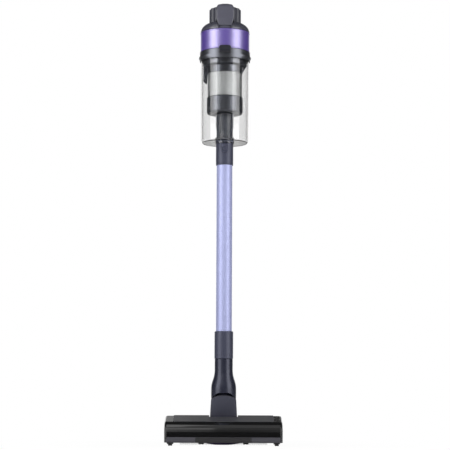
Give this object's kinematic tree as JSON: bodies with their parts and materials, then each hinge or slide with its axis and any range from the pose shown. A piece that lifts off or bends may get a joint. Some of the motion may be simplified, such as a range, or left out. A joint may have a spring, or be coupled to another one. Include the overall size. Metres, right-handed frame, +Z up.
{
  "type": "cordless stick vacuum",
  "caption": "Upright cordless stick vacuum: powered floor head, jointed neck, pipe, clear cyclone bin, motor unit, rear loop handle and slide-off battery.",
  "frame": {"origin": "on the floor under the pipe axis, at the middle of the lint strip's underside", "axes": "+Z up along the pipe, +Y to the rear, towards the handle, +X to the right seen from the front"},
  "size_m": [0.263, 0.2362, 1.0095],
  "materials": {
    "gloss_black": "gloss",
    "panel_grey": "satin",
    "bumper_rubber": "matt",
    "cap_grey": "satin",
    "chassis_black": "matt",
    "lint_pile": "pile",
    "motor_alloy": "machined",
    "belt_rubber": "matt",
    "pin_steel": "ground",
    "bristle": "nylon bristle",
    "wheel_black": "matt",
    "neck_grey": "satin",
    "washer_black": "matt",
    "neck_dark": "satin",
    "collar_grey": "satin",
    "button_lilac": "satin",
    "lavender_tube": "anodised",
    "clear_bin": "clear polycarbonate",
    "inlet_grey": "satin",
    "flange_black": "satin",
    "cyclone_grey": "satin",
    "mesh_steel": "etched",
    "skirt_grey": "satin",
    "filter_foam": "foam and pleated paper",
    "purple_ring": "anodised, polished",
    "shoulder_grey": "satin",
    "impeller_alloy": "machined",
    "cap_dark": "satin",
    "tab_grey": "satin",
    "handle_grey": "satin",
    "grip_rubber": "matt",
    "board_green": "solder mask",
    "battery_grey": "matt",
    "cell_wrap": "shrink wrap"
  },
  "bodies": {
    "floor_head": {"head_hood": "gloss_black", "top_panel": "panel_grey", "front_bumper": "bumper_rubber", "end_cap_left": "cap_grey", "end_cap_right": "cap_grey", "head_chassis": "chassis_black", "sole_plate": "chassis_black", "lint_strip": "lint_pile", "brush_motor": "motor_alloy", "drive_belt": "belt_rubber", "pitch_pin_left": "pin_steel", "pitch_pin_right": "pin_steel", "bearing_left": "pin_steel", "bearing_right": "pin_steel"},
    "brush_roll": {"brush_core": "chassis_black", "bristle_strip_1": "bristle", "bristle_strip_2": "bristle"},
    "motor_pulley": {"motor_pulley": "motor_alloy"},
    "front_wheel_left": {"front_wheel_left": "wheel_black"},
    "front_wheel_right": {"front_wheel_right": "wheel_black"},
    "rear_wheel_left": {"rear_wheel_left": "wheel_black"},
    "rear_wheel_right": {"rear_wheel_right": "wheel_black"},
    "neck_elbow": {"neck_elbow": "neck_grey"},
    "neck_socket": {"neck_socket": "neck_dark", "swivel_washer": "washer_black"},
    "pipe": {"pipe_lower_collar": "collar_grey", "pipe_tube": "lavender_tube", "power_conduit": "washer_black", "pipe_upper_collar": "collar_grey"},
    "head_release": {"head_release_button": "button_lilac"},
    "pipe_release": {"pipe_release_button": "button_lilac"},
    "bin": {"dust_bin": "clear_bin", "inlet_tube": "inlet_grey"},
    "motor_unit": {"bin_seal": "belt_rubber", "main_flange": "flange_black", "cyclone_body": "cyclone_grey", "mesh_screen": "mesh_steel", "cyclone_skirt": "skirt_grey", "pre_motor_filter": "filter_foam", "motor_housing": "chassis_black", "trim_ring": "purple_ring", "shoulder_cover": "shoulder_grey", "suction_motor": "motor_alloy", "motor_mount": "belt_rubber", "handle_left": "handle_grey", "handle_right": "handle_grey", "grip_pad": "grip_rubber", "control_board": "board_green"},
    "bin_latch": {"bin_latch": "flange_black"},
    "impeller": {"impeller": "impeller_alloy"},
    "filter_cap": {"filter_cap": "cap_dark", "filter_tab": "tab_grey", "exhaust_filter": "filter_foam"},
    "power_button": {"power_button": "button_lilac"},
    "mode_button": {"mode_button": "button_lilac"},
    "battery": {"battery_case": "battery_grey", "cell_block": "cell_wrap", "battery_lid": "battery_grey"},
    "battery_latch_left": {"battery_latch_left": "button_lilac"},
    "battery_latch_right": {"battery_latch_right": "button_lilac"}
  },
  "joints": [
    {"name": "brush_spin", "type": "hinge", "parent": "floor_head", "child": "brush_roll", "pos_m": [0, -0.05, 0.025], "axis": [1, 0, 0], "continuous": true},
    {"name": "motor_pulley_spin", "type": "hinge", "parent": "floor_head", "child": "motor_pulley", "pos_m": [0, -0.0091, 0.031], "axis": [1, 0, 0], "continuous": true},
    {"name": "front_wheel_left_spin", "type": "hinge", "parent": "floor_head", "child": "front_wheel_left", "pos_m": [-0.118, -0.069, 0.006], "axis": [1, 0, 0], "continuous": true},
    {"name": "front_wheel_right_spin", "type": "hinge", "parent": "floor_head", "child": "front_wheel_right", "pos_m": [0.118, -0.069, 0.006], "axis": [1, 0, 0], "continuous": true},
    {"name": "rear_wheel_left_spin", "type": "hinge", "parent": "floor_head", "child": "rear_wheel_left", "pos_m": [-0.051, 0.043, 0.0135], "axis": [1, 0, 0], "continuous": true},
    {"name": "rear_wheel_right_spin", "type": "hinge", "parent": "floor_head", "child": "rear_wheel_right", "pos_m": [0.051, 0.043, 0.0135], "axis": [1, 0, 0], "continuous": true},
    {"name": "neck_pitch", "type": "hinge", "parent": "floor_head", "child": "neck_elbow", "pos_m": [0, 0.028, 0.034], "axis": [-1, 0, 0], "range_deg": [0, 80]},
    {"name": "neck_swivel", "type": "hinge", "parent": "neck_elbow", "child": "neck_socket", "pos_m": [0, 0, 0.101], "axis": [0, 0.342, 0.9397], "range_deg": [-90, 90]},
    {"name": "pipe_pull", "type": "slide", "parent": "neck_socket", "child": "pipe", "axis": [0, 0, 1], "range_m": [0, 0.05]},
    {"name": "head_release_press", "type": "slide", "parent": "pipe", "child": "head_release", "axis": [0, -1, 0], "range_m": [0, 0.0015], "stiffness_N_per_m": 250},
    {"name": "pipe_release_press", "type": "slide", "parent": "pipe", "child": "pipe_release", "axis": [0, 1, 0], "range_m": [0, 0.0015], "stiffness_N_per_m": 250},
    {"name": "unit_pull", "type": "slide", "parent": "pipe", "child": "bin", "axis": [0, 0, 1], "range_m": [0, 0.035]},
    {"name": "bin_pull", "type": "slide", "parent": "bin", "child": "motor_unit", "axis": [0, 0, 1], "range_m": [0, 0.13]},
    {"name": "bin_latch_press", "type": "slide", "parent": "motor_unit", "child": "bin_latch", "axis": [0, 1, 0], "range_m": [0, 0.0015], "stiffness_N_per_m": 250},
    {"name": "impeller_spin", "type": "hinge", "parent": "motor_unit", "child": "impeller", "pos_m": [0, 0, 0.895], "axis": [0, 0, 1], "continuous": true},
    {"name": "filter_twist", "type": "hinge", "parent": "motor_unit", "child": "filter_cap", "pos_m": [0, 0, 0.9702], "axis": [0, 0, 1], "range_deg": [0, 30]},
    {"name": "power_press", "type": "slide", "parent": "motor_unit", "child": "power_button", "axis": [0, 0, -1], "range_m": [0, 0.0015], "stiffness_N_per_m": 250},
    {"name": "mode_press", "type": "slide", "parent": "motor_unit", "child": "mode_button", "axis": [0, 0, -1], "range_m": [0, 0.0015], "stiffness_N_per_m": 250},
    {"name": "battery_slide", "type": "slide", "parent": "motor_unit", "child": "battery", "axis": [0, 0, -1], "range_m": [0, 0.1]},
    {"name": "battery_latch_left_press", "type": "slide", "parent": "battery", "child": "battery_latch_left", "axis": [1, 0, 0], "range_m": [0, 0.0015], "stiffness_N_per_m": 250},
    {"name": "battery_latch_right_press", "type": "slide", "parent": "battery", "child": "battery_latch_right", "axis": [-1, 0, 0], "range_m": [0, 0.0015], "stiffness_N_per_m": 250}
  ],
  "couplings": [
    {"joint": "motor_pulley_spin", "follows": "brush_spin", "ratio": 1.5}
  ]
}
